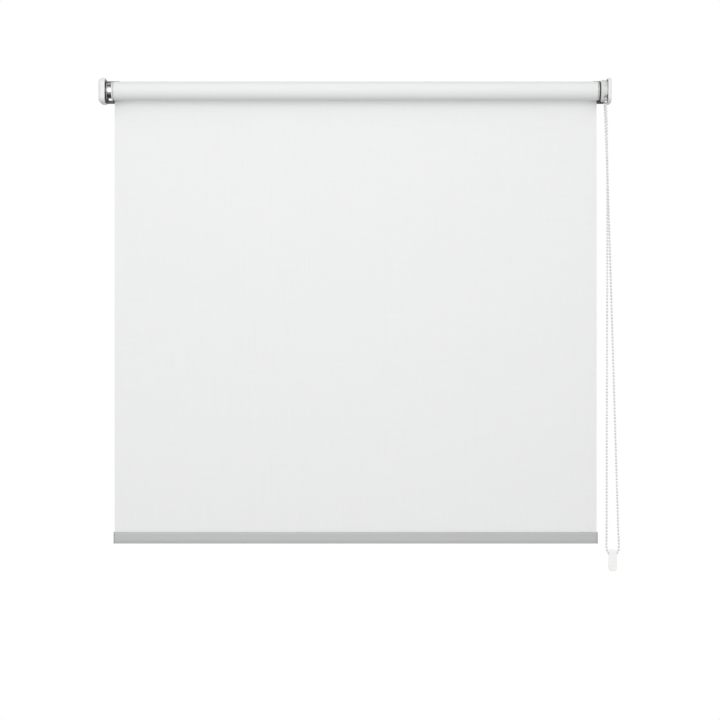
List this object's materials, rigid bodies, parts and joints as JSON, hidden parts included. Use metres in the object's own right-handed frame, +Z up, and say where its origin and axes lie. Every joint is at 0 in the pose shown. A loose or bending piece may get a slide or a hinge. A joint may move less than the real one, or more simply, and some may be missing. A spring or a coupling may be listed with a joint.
{
  "type": "roller blind",
  "caption": "Wall-mounted roller blind: fabric on a tube between two covered brackets, with a bottom bar and a side bead chain that winds it.",
  "frame": {"origin": "centre of the wall face of the idle bracket's flange, at the height of the roll's axis", "axes": "+X along the roll from the idle end to the chain end, +Y out of the blind's back into the wall, +Z up; the room is at -Y"},
  "size_m": [0.969, 0.0531, 0.9153],
  "materials": {
    "bracket_steel": "zinc-plated sheet and fixings",
    "white_plastic": "white moulded plastic",
    "grey_plastic": "light grey moulded plastic",
    "black_plastic": "black moulded plastic",
    "clear_plastic": "milky half-clear moulded plastic",
    "polished_hub": "polished chrome",
    "aluminium": "satin grey aluminium extrusion",
    "tape": "double-sided adhesive tape",
    "fabric": "fine white light-passing weave",
    "bead_plastic": "white plastic beads on a cord"
  },
  "bodies": {
    "root": {"idle_bracket": "bracket_steel", "idle_bracket_cover": "white_plastic", "idle_hub": "polished_hub", "idle_hub_bush": "white_plastic", "idle_hub_flange": "bracket_steel", "idle_hub_screw": "bracket_steel", "control_bracket": "bracket_steel", "control_bracket_cover": "white_plastic", "clutch_core": "grey_plastic", "clutch_screw": "bracket_steel", "chain_guard": "clear_plastic", "chain_wrap": "bead_plastic", "bead_chain": "bead_plastic", "chain_weight_front": "bead_plastic", "chain_weight_back": "bead_plastic", "chain_weight_slug": "bracket_steel", "fabric_sheet": "fabric"},
    "roll": {"tube": "aluminium", "fabric_tape": "tape", "wound_fabric": "fabric", "drive_hub": "white_plastic", "drive_washer": "black_plastic", "idle_end_plug": "white_plastic", "pin_retainer": "grey_plastic", "pin_spring": "bracket_steel"},
    "wheel": {"chain_wheel": "white_plastic", "wrap_spring_inner": "bracket_steel", "wrap_spring_outer": "bracket_steel"},
    "bar": {"bottom_bar": "aluminium", "bar_end_cap_idle": "grey_plastic", "bar_end_cap_control": "grey_plastic", "fabric_retaining_strip": "white_plastic"},
    "pin": {"idle_pin": "bracket_steel"}
  },
  "joints": [
    {"name": "roll_turn", "type": "hinge", "parent": "root", "child": "roll", "pos_m": [0, -0.03, 0], "axis": [1, 0, 0], "range_deg": [0, 2520]},
    {"name": "chain_wheel_turn", "type": "hinge", "parent": "root", "child": "wheel", "pos_m": [0.9178, -0.03, 0], "axis": [1, 0, 0], "range_deg": [0, 2520]},
    {"name": "bar_lift", "type": "slide", "parent": "root", "child": "bar", "axis": [0, 0, 1], "range_m": [0, 0.781], "deforming": ["fabric_sheet"]},
    {"name": "idle_pin_press", "type": "slide", "parent": "roll", "child": "pin", "axis": [1, 0, 0], "range_m": [0, 0.006], "stiffness_N_per_m": 400, "springref_m": -0.004, "deforming": ["pin_spring"]}
  ],
  "couplings": [
    {"joint": "chain_wheel_turn", "follows": "roll_turn", "ratio": 1},
    {"joint": "bar_lift", "follows": "roll_turn", "m_per_rad": 0.01775}
  ]
}
